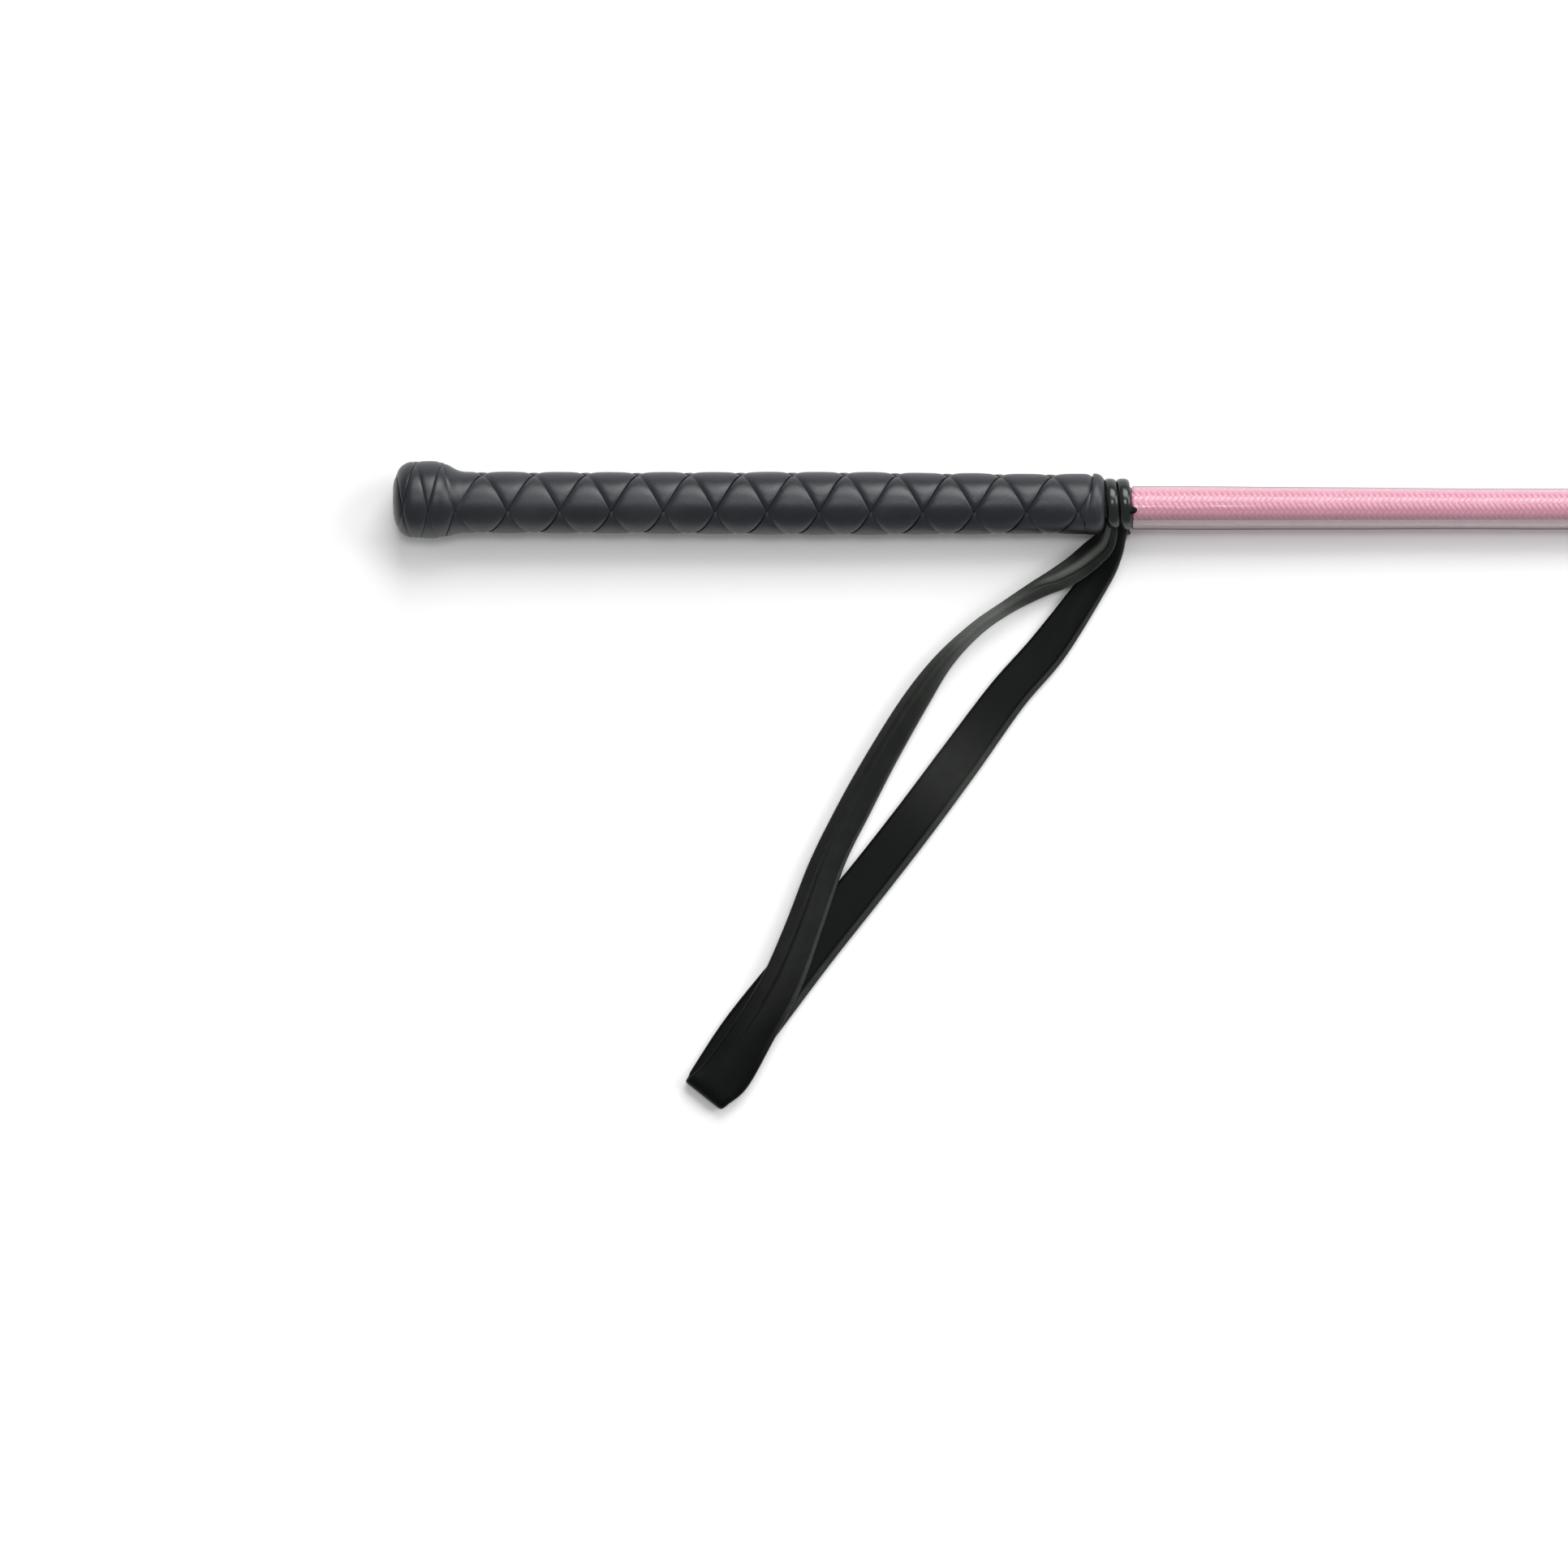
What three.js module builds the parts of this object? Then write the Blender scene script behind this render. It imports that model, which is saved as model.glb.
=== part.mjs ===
// A riding crop: a braided glass-fibre rod in a loose clear sleeve, a plaited leather handle with a knob
// at its butt, a folded wrist strap hitched round the rod, and a two-ply leather keeper at the tip.
// Millimetres. +X runs along the rod from the butt to the tip, +Y points away from the wrist strap, and
// +Z is up when the crop lies on a table. The origin is on the handle's axis, in the butt's flat end.
import * as THREE from "three";
import { mergeVertices } from "three/addons/utils/BufferGeometryUtils.js";

const { clamp, degToRad, lerp, smoothstep } = THREE.MathUtils;

// Driving dimensions
const totalLength = 650;
const clearance = 0.3; // between pieces that touch on the real crop

const rod = { start: 9.5, end: 592.5, handleRadius: 2.9, tipRadius: 1.2 };
const braid = { start: 17.6, end: 591, handleRadius: 4.2, tipRadius: 2.6, wall: 1 };
const taperStart = 204; // the rod and its braid are cylinders up to here

const plug = { headRadius: 3.6, headDepth: 1.2, stemRadius: 1.5, stemEnd: 5.2 };
const knob = { radius: 10.45, fullFrom: 6, fullTo: 10.5, neck: 19.5, coreEnd: 17, offAxis: 0.7 };
const grip = { radius: 8.35, middleRadius: 8.6, endRadius: 8.2, end: 187.5 };
const strand = { thickness: 0.7, layerStep: 1.4, pitch: 14, seamGap: 0.07, seamAngle: -20, seamX: 31 };
const coreDepth = 2.75; // from the handle's skin down to its core
const endBand = { start: 187.8, end: 192.6, radius: 8.2, nose: 6.7 };

const hitch = { start: 193, bandWidth: 3.3, innerRadius: 4.5, outerRadius: 7.05 };
const bight = { innerRadius: 7.35, outerRadius: 8.9, fromAngle: -150, toAngle: -100 };
const strap = { width: 12.5, thickness: 1.8, bed: -9.3 }; // bed: the level of the strap's lowest face
const sleeve = { start: 200.3, end: 571.3, startRadius: 5.95, endRadius: 4.75, wall: 0.4, offAxis: -1 };

const keeperRoot = { start: 577.5, end: 593.7, innerRadius: 2.95, outerRadius: 3.9 };
const whipping = { start: 579, end: 590, innerRadius: 4.2, outerRadius: 5 };
const keeper = { start: 596.5, neckWidth: 8, width: 22, shoulder: 612, ply: 1.4 };

// Materials
const leather = (color, roughness) => new THREE.MeshStandardMaterial({ color, roughness, metalness: 0 });
const plaitLeather = leather(0x34363a, 0.45);
const strapLeather = leather(0x222427, 0.4);
const keeperLeather = leather(0x26272a, 0.5);
const knobWood = leather(0xa98a62, 0.8);
const gripRubber = leather(0x2b2b2b, 0.9);
const rodGlassFibre = leather(0xd9d4c0, 0.4);
const pinkNylon = leather(0xdfa5b5, 0.6);
const blackThread = leather(0x1c1c1e, 0.7);
const clearPlastic = new THREE.MeshStandardMaterial({
  color: 0xf2ecec,
  roughness: 0.15,
  metalness: 0,
  transparent: true,
  opacity: 0.3,
});

// The knob's centre sits a little to one side of the handle's axis, and fades back to it over the neck.
const sway = (x) => knob.offAxis * (1 - smoothstep(x, 12, knob.neck));

// A point at a radius and an angle about the rod's axis: 0 degrees is up, 90 degrees is +Y.
function aroundAxis(x, radius, degrees, offset = 0) {
  const angle = degToRad(degrees);
  return [x, offset + radius * Math.sin(angle), radius * Math.cos(angle)];
}

// Merged vertices, with the faces turned outwards.
function closedBody(geometry) {
  geometry.deleteAttribute("normal");
  geometry.deleteAttribute("uv");
  const body = mergeVertices(geometry, 1e-3);
  const corner = [new THREE.Vector3(), new THREE.Vector3(), new THREE.Vector3()];
  const index = body.index.array;
  let volume = 0;
  for (let i = 0; i < index.length; i += 3) {
    corner.forEach((point, k) => point.fromBufferAttribute(body.attributes.position, index[i + k]));
    volume += corner[0].dot(corner[1].clone().cross(corner[2]));
  }
  if (volume < 0) index.reverse();
  body.computeVertexNormals();
  return body;
}

// A solid of revolution about the rod's axis, from [x, radius] pairs that start and end on the axis or
// come back to the first pair.
function turned(profile, segments = 24) {
  const points = profile.map(([x, radius]) => new THREE.Vector2(radius, x));
  return closedBody(new THREE.LatheGeometry(points, segments).rotateZ(-Math.PI / 2));
}

// A straight tube about the rod's axis whose two radii run evenly from one end to the other.
function tube(startX, endX, [startInner, startOuter], [endInner, endOuter]) {
  return turned([
    [startX, startInner],
    [startX, startOuter],
    [endX, endOuter],
    [endX, endInner],
    [startX, startInner],
  ]);
}

// A box of along × across × deep cells whose corners, given as fractions of its three sides, are carried
// to their place on the crop.
function bentBox([along, across, deep], place) {
  const box = closedBody(new THREE.BoxGeometry(1, 1, 1, along, across, deep).translate(0.5, 0.5, 0.5));
  const position = box.attributes.position;
  for (let i = 0; i < position.count; i++)
    position.setXYZ(i, ...place(position.getX(i), position.getY(i), position.getZ(i)));
  return closedBody(box);
}

// Moves each point sideways by the sway of the knob.
function swayed(geometry) {
  const position = geometry.attributes.position;
  for (let i = 0; i < position.count; i++) position.setY(i, position.getY(i) + sway(position.getX(i)));
  return geometry;
}

// The handle's skin in half section, as [x, radius] along its length: the flat of the butt, the knob, its
// neck and the grip, which swells slightly in the middle.
const skin = new THREE.Path();
skin.moveTo(0, plug.headRadius + clearance);
skin.bezierCurveTo(0.2, 0.65 * knob.radius, 1.6, knob.radius, knob.fullFrom, knob.radius);
skin.lineTo(knob.fullTo, knob.radius);
skin.bezierCurveTo(15.6, knob.radius, 15.6, grip.radius, knob.neck, grip.radius);
skin.splineThru([
  new THREE.Vector2(65, grip.radius),
  new THREE.Vector2(118, grip.middleRadius),
  new THREE.Vector2(170, grip.endRadius),
  new THREE.Vector2(grip.end, grip.endRadius),
]);
const skinLength = skin.getLength();
const skinAt = (x) => skinLength - (grip.end - x); // distance along the skin, on the straight grip

// [x, radius] at a distance along the skin and a depth below it.
function underSkin(distance, depth) {
  const fraction = clamp(distance / skinLength, 0, 1);
  const point = skin.getPointAt(fraction);
  const direction = skin.getTangentAt(fraction);
  return [point.x + depth * direction.y, point.y - depth * direction.x];
}

// The plait. Its seams cross on a lattice: one family of seams lies at whole values of a, the other at
// whole values of b, each cell is half a pitch long and a quarter turn round, and a strand fills one
// value of a or b all the way along. Strands of the two families take turns on top.
const cell = strand.pitch / 2;
const seamStart = skinAt(strand.seamX);

function onPlait(a, b, depth) {
  const [x, radius] = underSkin(seamStart + cell * (a + b), depth);
  return aroundAxis(x, radius, strand.seamAngle + 90 * (a - b), sway(x));
}

// Past the ends of the handle the strand's cells are pressed into a thin slice.
function pressedTo(value, low, high) {
  const inside = clamp(value, low, high);
  return inside + 0.01 * (value - inside);
}

function plaitedStrand(lane, onLattice) {
  const stepsPerCell = 4; // three on the flat of the cell, and one where the strand dips between two others
  const flat = 1 - 2 * strand.seamGap;
  const firstCell = Math.floor(-seamStart / cell) - lane - 2;
  const cells = Math.ceil(skinLength / cell) + 3;
  return bentBox([cells * stepsPerCell - 1, 4, 1], (along, across, deep) => {
    const step = Math.round(along * (cells * stepsPerCell - 1));
    const inCell = strand.seamGap + ((step % stepsPerCell) / (stepsPerCell - 1)) * flat;
    const wanted = firstCell + Math.floor(step / stepsPerCell) + inCell;
    const side = lane + strand.seamGap + across * flat;
    const low = -seamStart / cell - side;
    const place = pressedTo(wanted, low, low + skinLength / cell);
    return onLattice(side, place, deep * strand.thickness);
  });
}

const isEven = (number) => Math.abs(number % 2) === 0;

// Strands of family a fall from +Y to -Y along the rod, and are on top where lane and cell are both odd
// or both even. Strands of family b climb, and are on top in the other cells.
const strandA = (lane) =>
  plaitedStrand(lane, (a, b, depth) =>
    onPlait(a, b, depth + (isEven(lane + Math.floor(b)) ? 0 : strand.layerStep)),
  );
const strandB = (lane) =>
  plaitedStrand(lane, (b, a, depth) =>
    onPlait(a, b, depth + (isEven(lane + Math.floor(a)) ? strand.layerStep : 0)),
  );

// The handle's inside
function knobCore() {
  const outside = [0, 3, 6, 9, 12, 17, 20].map((distance) => underSkin(distance, coreDepth));
  const holeRadius = plug.stemRadius + clearance;
  const holeEnd = plug.stemEnd + clearance;
  const socketRadius = rod.handleRadius + knob.offAxis + clearance;
  return swayed(
    turned([
      [holeEnd, 0],
      [holeEnd, holeRadius],
      [outside[0][0], holeRadius],
      ...outside,
      [knob.coreEnd, grip.radius - coreDepth],
      [knob.coreEnd, socketRadius],
      [rod.start - clearance, socketRadius],
      [rod.start - clearance, 0],
    ]),
  );
}

function gripCore() {
  const start = knob.coreEnd + clearance;
  const bore = braid.handleRadius + clearance;
  const outside = [start, 65, 118, 170, grip.end].map((x) => [x, underSkin(skinAt(x), coreDepth)[1]]);
  return swayed(turned([[start, bore], ...outside, [grip.end, bore], [start, bore]]));
}

function buttPlug() {
  return swayed(
    turned([
      [0, 0],
      [0, plug.headRadius],
      [plug.headDepth, plug.headRadius],
      [plug.headDepth, plug.stemRadius],
      [plug.stemEnd, plug.stemRadius],
      [plug.stemEnd, 0],
    ]),
  );
}

// The rod and its braid are even through the handle and taper to the tip.
function taperedRod() {
  return turned([
    [rod.start, 0],
    [rod.start, rod.handleRadius],
    [taperStart, rod.handleRadius],
    [rod.end, rod.tipRadius],
    [rod.end, 0],
  ]);
}

function braidCover() {
  const outer = [
    [braid.start, braid.handleRadius],
    [taperStart, braid.handleRadius],
    [braid.end, braid.tipRadius],
  ];
  const inner = outer.map(([x, radius]) => [x, radius - braid.wall]).reverse();
  return turned([...outer, ...inner, outer[0]]);
}

function gripEndBand() {
  const bore = braid.handleRadius + clearance;
  return turned([
    [endBand.start, bore],
    [endBand.start, endBand.radius],
    [endBand.end - 2, endBand.radius],
    [endBand.end - 0.6, lerp(endBand.radius, endBand.nose, 0.4)],
    [endBand.end, endBand.nose],
    [endBand.end, bore],
    [endBand.start, bore],
  ]);
}

function clearSleeve() {
  return tube(
    sleeve.start,
    sleeve.end,
    [sleeve.startRadius - sleeve.wall, sleeve.startRadius],
    [sleeve.endRadius - sleeve.wall, sleeve.endRadius],
  ).translate(0, sleeve.offAxis, 0);
}

// The hitch: two rounded bands side by side, and the bight across them on the underside.
function hitchBand(number) {
  const start = hitch.start + number * (hitch.bandWidth + clearance);
  const middle = (hitch.innerRadius + hitch.outerRadius) / 2;
  const section = [];
  for (let corner = 0; corner <= 8; corner++) {
    const angle = degToRad(45 * corner + 22.5);
    const along = (hitch.bandWidth / 2 / Math.cos(degToRad(22.5))) * Math.cos(angle);
    const out = ((hitch.outerRadius - hitch.innerRadius) / 2 / Math.cos(degToRad(22.5))) * Math.sin(angle);
    section.push([start + hitch.bandWidth / 2 + along, middle + out]);
  }
  return turned(section);
}

function hitchBight() {
  const length = 2 * hitch.bandWidth + clearance;
  return bentBox([1, 6, 1], (along, across, deep) =>
    aroundAxis(
      hitch.start + along * length,
      lerp(bight.innerRadius, bight.outerRadius, deep),
      lerp(bight.fromAngle, bight.toAngle, across),
    ),
  );
}

// One leg of the wrist strap, through stations of [x, y, level of its underside, width, height].
function strapLeg(stations, steps) {
  const path = new THREE.CatmullRomCurve3(stations.map(([x, y, level]) => new THREE.Vector3(x, y, level)));
  const size = new THREE.CatmullRomCurve3(stations.map(([, , , w, h]) => new THREE.Vector3(w, h, 0)));
  return bentBox([steps, 1, 1], (along, across, deep) => {
    const point = path.getPoint(along);
    const direction = path.getTangent(along).setZ(0).normalize();
    const { x: width, y: height } = size.getPoint(along);
    const aside = (across - 0.5) * width;
    return [point.x - aside * direction.y, point.y + aside * direction.x, point.z + deep * height];
  });
}

// The upper leg lies flat on the lower one at the fold, turns up on its edge where it is folded
// lengthwise, and narrows again to the hitch.
const upperBed = strap.bed + strap.thickness + 2 * clearance;
const upperLeg = [
  [192.4, -12.4, -5.2, 2.6, 3.6],
  [184, -17.4, -6.6, 4.6, 4.6],
  [174, -23.6, -8.6, 5.4, 5.4],
  [163, -30.2, strap.bed, 4.6, 6],
  [153.4, -38.2, strap.bed, 4.4, 6],
  [140.6, -55, strap.bed, 5.6, 5],
  [130, -72.6, strap.bed, 7.4, 3.6],
  [121.2, -90.2, -8.6, 8.8, 3],
  [113, -107.8, upperBed, 10.6, 1.8],
  [104.6, -127, upperBed, strap.width, strap.thickness],
  [96.8, -143, upperBed, strap.width, strap.thickness],
  [88.3, -156.6, upperBed, strap.width, strap.thickness],
];
const lowerLeg = [
  [197, -12.6, -5.2, 2.8, 3.6],
  [192.8, -17.4, -7, 4.8, 3.2],
  [189.3, -22.4, -8.4, 7, 2.4],
  [178.4, -37.4, strap.bed, 9.8, strap.thickness],
  [164.2, -55, strap.bed, 10.8, strap.thickness],
  [138.4, -89.4, strap.bed, 12, strap.thickness],
  [112, -124.6, strap.bed, strap.width, strap.thickness],
  [87.7, -156.9, strap.bed, strap.width, strap.thickness],
];

// The fold turns half round from the lower leg to the upper one.
function strapFold() {
  const centre = new THREE.Vector2(87.5, -157.2);
  const direction = new THREE.Vector2(-0.605, -0.796);
  const lowMiddle = strap.bed + strap.thickness / 2;
  const highMiddle = upperBed + strap.thickness / 2;
  return bentBox([6, 1, 1], (along, across, deep) => {
    const angle = degToRad(lerp(-90, 90, along));
    const radius = (highMiddle - lowMiddle) / 2 + (deep - 0.5) * strap.thickness;
    const ahead = clearance + radius * Math.cos(angle);
    const aside = (across - 0.5) * strap.width;
    return [
      centre.x + ahead * direction.x - aside * direction.y,
      centre.y + ahead * direction.y + aside * direction.x,
      (lowMiddle + highMiddle) / 2 + radius * Math.sin(angle),
    ];
  });
}

// The keeper: two plies of one outline, with a narrow neck, parallel sides and a round end.
function keeperPly(underside) {
  const half = keeper.width / 2;
  const neck = keeper.neckWidth / 2;
  const roundStart = totalLength - half;
  const outline = new THREE.Shape();
  outline.moveTo(keeper.start, -neck);
  outline.bezierCurveTo(keeper.start + 6, -neck, keeper.shoulder - 6, -half, keeper.shoulder, -half);
  outline.lineTo(roundStart, -half);
  outline.absarc(roundStart, 0, half, -Math.PI / 2, Math.PI / 2);
  outline.lineTo(keeper.shoulder, half);
  outline.bezierCurveTo(keeper.shoulder - 6, half, keeper.start + 6, neck, keeper.start, neck);
  const settings = { depth: keeper.ply, bevelEnabled: false, curveSegments: 8 };
  return closedBody(new THREE.ExtrudeGeometry(outline, settings).translate(0, 0, underside));
}

function whippingRing() {
  const edge = 0.35;
  return turned([
    [whipping.start, whipping.innerRadius],
    [whipping.start, whipping.outerRadius - edge],
    [whipping.start + edge, whipping.outerRadius],
    [whipping.end - edge, whipping.outerRadius],
    [whipping.end, whipping.outerRadius - edge],
    [whipping.end, whipping.innerRadius],
    [whipping.start, whipping.innerRadius],
  ]);
}

const ringOf = ({ innerRadius, outerRadius }) => [innerRadius, outerRadius];

// The crop, put together
const crop = new THREE.Group();
crop.name = "riding_crop";

function add(name, geometry, material) {
  const mesh = new THREE.Mesh(geometry, material.clone());
  mesh.name = name;
  crop.add(mesh);
}

add("core_rod", taperedRod(), rodGlassFibre);
add("braid_cover", braidCover(), pinkNylon);
add("pommel_core", knobCore(), knobWood);
add("butt_plug", buttPlug(), plaitLeather);
add("grip_core", gripCore(), gripRubber);
add("grip_strand_a1", strandA(0), plaitLeather);
add("grip_strand_a2", strandA(1), plaitLeather);
add("grip_strand_b1", strandB(0), plaitLeather);
add("grip_strand_b2", strandB(1), plaitLeather);
add("grip_end_band", gripEndBand(), plaitLeather);
add("hitch_band_grip_side", hitchBand(0), strapLeather);
add("hitch_band_shaft_side", hitchBand(1), strapLeather);
add("hitch_bight", hitchBight(), strapLeather);
add("strap_leg_upper", strapLeg(upperLeg, 30), strapLeather);
add("strap_leg_lower", strapLeg(lowerLeg, 16), strapLeather);
add("strap_fold", strapFold(), strapLeather);
add("clear_sleeve", clearSleeve(), clearPlastic);
const rootRing = ringOf(keeperRoot);
add("keeper_root", tube(keeperRoot.start, keeperRoot.end, rootRing, rootRing), keeperLeather);
add("tip_whipping", whippingRing(), blackThread);
add("keeper_ply_top", keeperPly(clearance / 2), keeperLeather);
add("keeper_ply_bottom", keeperPly(-clearance / 2 - keeper.ply), keeperLeather);

export default crop;
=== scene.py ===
# %% [markdown]
# # A riding crop
# A riding crop is a thin, springy rod with a thick handle at one end and a leather tongue, the keeper, at
# the other. This notebook dresses its packed mechanical model: it keeps every size and joint of that model
# and gives each visible piece its fine shape and its finish. Lengths are in millimetres while a piece is
# being shaped, and each mesh is turned into metres as it is placed.

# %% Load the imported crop
import math

import bpy
import numpy as np
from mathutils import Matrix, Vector


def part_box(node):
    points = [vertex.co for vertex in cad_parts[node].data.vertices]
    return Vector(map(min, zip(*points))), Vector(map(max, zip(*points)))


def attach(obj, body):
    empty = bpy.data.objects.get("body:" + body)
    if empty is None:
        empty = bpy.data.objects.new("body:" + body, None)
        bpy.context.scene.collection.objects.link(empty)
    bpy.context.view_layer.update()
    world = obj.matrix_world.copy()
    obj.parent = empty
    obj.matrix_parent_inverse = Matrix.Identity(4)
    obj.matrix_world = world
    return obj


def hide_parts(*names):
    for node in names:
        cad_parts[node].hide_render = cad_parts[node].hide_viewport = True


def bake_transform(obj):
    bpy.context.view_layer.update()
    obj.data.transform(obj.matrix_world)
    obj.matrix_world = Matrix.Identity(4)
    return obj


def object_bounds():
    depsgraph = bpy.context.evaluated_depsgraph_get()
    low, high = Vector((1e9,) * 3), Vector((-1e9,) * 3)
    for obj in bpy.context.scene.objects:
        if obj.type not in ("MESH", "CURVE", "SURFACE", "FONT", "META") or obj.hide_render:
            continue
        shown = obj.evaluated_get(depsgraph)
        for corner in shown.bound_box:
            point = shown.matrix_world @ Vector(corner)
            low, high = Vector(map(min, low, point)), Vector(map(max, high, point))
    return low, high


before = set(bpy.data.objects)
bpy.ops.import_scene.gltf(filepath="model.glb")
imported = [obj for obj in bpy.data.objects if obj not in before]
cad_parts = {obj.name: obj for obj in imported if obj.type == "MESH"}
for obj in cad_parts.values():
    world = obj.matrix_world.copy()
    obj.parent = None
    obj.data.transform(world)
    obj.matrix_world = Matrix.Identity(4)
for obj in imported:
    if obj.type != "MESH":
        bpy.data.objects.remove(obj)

cad_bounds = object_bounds()
MM = 0.001
scene = bpy.context.scene
print("crop box in mm:", [[round(c / MM, 1) for c in corner] for corner in cad_bounds])

# %% [markdown]
# ## Camera
# The crop lies on a table and is seen from straight above, from far away, so a long lens is used. The
# camera turns a hair about its own axis, because the crop doesn't lie quite level.

# %% Camera
VIEW_WIDTH = 425
VIEW_CENTRE = (106, -76.1)
VIEW_ROLL = math.radians(0.16)

bpy.ops.object.camera_add()
camera = bpy.context.object
camera.data.lens = 135
camera.data.sensor_width = 36
view_distance = VIEW_WIDTH * camera.data.lens / camera.data.sensor_width
camera.location = (VIEW_CENTRE[0] * MM, VIEW_CENTRE[1] * MM, view_distance * MM)
camera.rotation_euler = (0, 0, VIEW_ROLL)
camera.data.clip_end = 20
scene.camera = camera
print("camera height in mm:", round(view_distance))

# %% [markdown]
# ## Floor and light
# The knob is the thickest piece and the tip the thinnest, so a crop on a table leans a little: the floor is
# tilted by that angle and the crop stays level. The light is a white room with three square lamps: a broad
# one beyond the handle, a weaker one from the tip's side, and a small one overhead that draws the thin
# highlight along the leather and the braid.


# %% Floor
def middle_of(node):
    """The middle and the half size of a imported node, in mm."""
    low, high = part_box(node)
    low, high = np.array(low) / MM, np.array(high) / MM
    return (low + high) / 2, (high - low) / 2


KNOB_RADIUS = cad_bounds[1][2] / MM
whipping_middle, whipping_half = middle_of("tip_whipping")
knob_rest = (8, -KNOB_RADIUS)
tip_rest = (whipping_middle[0], -whipping_half[2])
FLOOR_SLOPE = (tip_rest[1] - knob_rest[1]) / (tip_rest[0] - knob_rest[0])


def floor_level(x):
    """The height of the floor under a point x mm along the crop."""
    return knob_rest[1] + (x - knob_rest[0]) * FLOOR_SLOPE


FLOOR_SIZE, FLOOR_GAP = 8, 0.0002
bpy.ops.mesh.primitive_plane_add(size=FLOOR_SIZE, location=(0, 0, floor_level(0) * MM - FLOOR_GAP))
floor = bpy.context.object
floor.name = "floor"
floor.rotation_euler = (0, -math.atan(FLOOR_SLOPE), 0)
print("floor slope in degrees:", round(math.degrees(math.atan(FLOOR_SLOPE)), 2))

# %% Lights
scene.view_settings.view_transform = "Standard"
world = bpy.data.worlds.new("white room")
scene.world = world
world.use_nodes = True
world.node_tree.nodes["Background"].inputs["Color"].default_value = (1.0, 1.0, 1.0, 1)
world.node_tree.nodes["Background"].inputs["Strength"].default_value = 0.40


def soft_lamp(name, aim, azimuth, elevation, distance, size, power):
    """A square area lamp that looks at a point of the crop. Azimuth 0 is +X and 90 is +Y."""
    a, e = math.radians(azimuth), math.radians(elevation)
    back = Vector((math.cos(a) * math.cos(e), math.sin(a) * math.cos(e), math.sin(e)))
    bpy.ops.object.light_add(type="AREA", location=Vector(aim) + back * distance)
    lamp = bpy.context.object
    lamp.name = name
    lamp.rotation_euler = back.to_track_quat("Z", "Y").to_euler()
    lamp.data.size = size
    lamp.data.energy = power


HANDLE_AIM = (0.11, -0.03, 0)
soft_lamp("key lamp", HANDLE_AIM, azimuth=75, elevation=42, distance=3.2, size=2.0, power=84)
soft_lamp("side lamp", HANDLE_AIM, azimuth=20, elevation=38, distance=3.4, size=1.8, power=50)
soft_lamp("top lamp", HANDLE_AIM, azimuth=80, elevation=83, distance=3.6, size=0.6, power=21)

# %% [markdown]
# ## Writing finishes as formulas
# A finish is a small program of shader nodes. Wiring nodes by hand in code is long and hard to read, so one
# small class stands for a socket and takes Python's operators: `height * 0.5 + 1` adds the maths nodes that
# it needs. Every other node comes from one method, `node`, and `surface_is` plugs the results into the
# shader.


# %% A socket that takes operators
class Field:
    """The value of one shader socket over a surface."""

    def __init__(self, finish, socket):
        self.finish, self.socket = finish, socket

    def maths(self, operation, *values):
        return self.finish.node("ShaderNodeMath", {"operation": operation}, dict(enumerate(values)))

    def __add__(self, other):
        return self.maths("ADD", self, other)

    def __sub__(self, other):
        return self.maths("SUBTRACT", self, other)

    def __rsub__(self, other):
        return self.maths("SUBTRACT", other, self)

    def __mul__(self, other):
        return self.maths("MULTIPLY", self, other)

    __radd__ = __add__
    __rmul__ = __mul__

    def smooth(self, low, high):
        """0 below low and 1 above high, with a smooth step between."""
        settings = {"interpolation_type": "SMOOTHSTEP"}
        return self.finish.node("ShaderNodeMapRange", settings, {0: self, 1: low, 2: high, 3: 0.0, 4: 1.0})


class Finish:
    """A material under construction: a Principled surface and what feeds it."""

    def __init__(self, name):
        self.material = bpy.data.materials.new(name)
        self.material.use_nodes = True
        self.tree = self.material.node_tree
        self.surface = self.tree.nodes["Principled BSDF"]

    def node(self, kind, settings=None, values=None, output=0):
        made = self.tree.nodes.new(kind)
        for key, value in (settings or {}).items():
            setattr(made, key, value)
        for key, value in (values or {}).items():
            self.put(made.inputs[key], value)
        return Field(self, made.outputs[output])

    def put(self, socket, value):
        if isinstance(value, Field):
            self.tree.links.new(value.socket, socket)
        elif socket.type == "RGBA":
            socket.default_value = (*value, 1)
        else:
            socket.default_value = value

    def surface_is(self, **values):
        for name, value in values.items():
            self.put(self.surface.inputs[name.replace("_", " ")], value)
        return self.material

    def place(self, space="Object", scale=(1, 1, 1)):
        spot = self.node("ShaderNodeTexCoord", output=space)
        return self.node("ShaderNodeMapping", {}, {"Vector": spot, "Scale": scale})

    def noise(self, where, scale, detail=3.0, roughness=0.5):
        values = {"Vector": where, "Scale": scale, "Detail": detail, "Roughness": roughness}
        return self.node("ShaderNodeTexNoise", {}, values)

    def cells(self, where, scale):
        settings = {"feature": "DISTANCE_TO_EDGE"}
        return self.node("ShaderNodeTexVoronoi", settings, {"Vector": where, "Scale": scale})

    def mix(self, factor, low, high):
        return self.node("ShaderNodeMix", {"data_type": "RGBA"}, {0: factor, 6: low, 7: high}, output=2)

    def bump(self, height, distance, strength=1.0):
        return self.node("ShaderNodeBump", {}, {"Height": height, "Distance": distance, "Strength": strength})


print("finishes are written as formulas")

# %% [markdown]
# ## Leather
# Leather has a grain of small rounded cells between fine creases, a slow change of colour where hands have
# rubbed it, and duller and shinier patches. The grain is a cell pattern turned into bump, and the rest is
# noise at three scales. The strap also carries a number at its points, and the dye there gives way to a
# paler grey: partly edge wear along its hem, partly painted light, that is painted highlights, a painted
# sheen and painted lighter patches, and a paler upper leg. The plaited handle is softer and paler than the
# strap, the hitch is polished by the hand, and the keeper is firmer, so one function makes all four.


# %% Leather finishes
# The paler grey that both edge wear and painted light turn the dye to.
PALE = (0.085, 0.092, 0.084)


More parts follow.
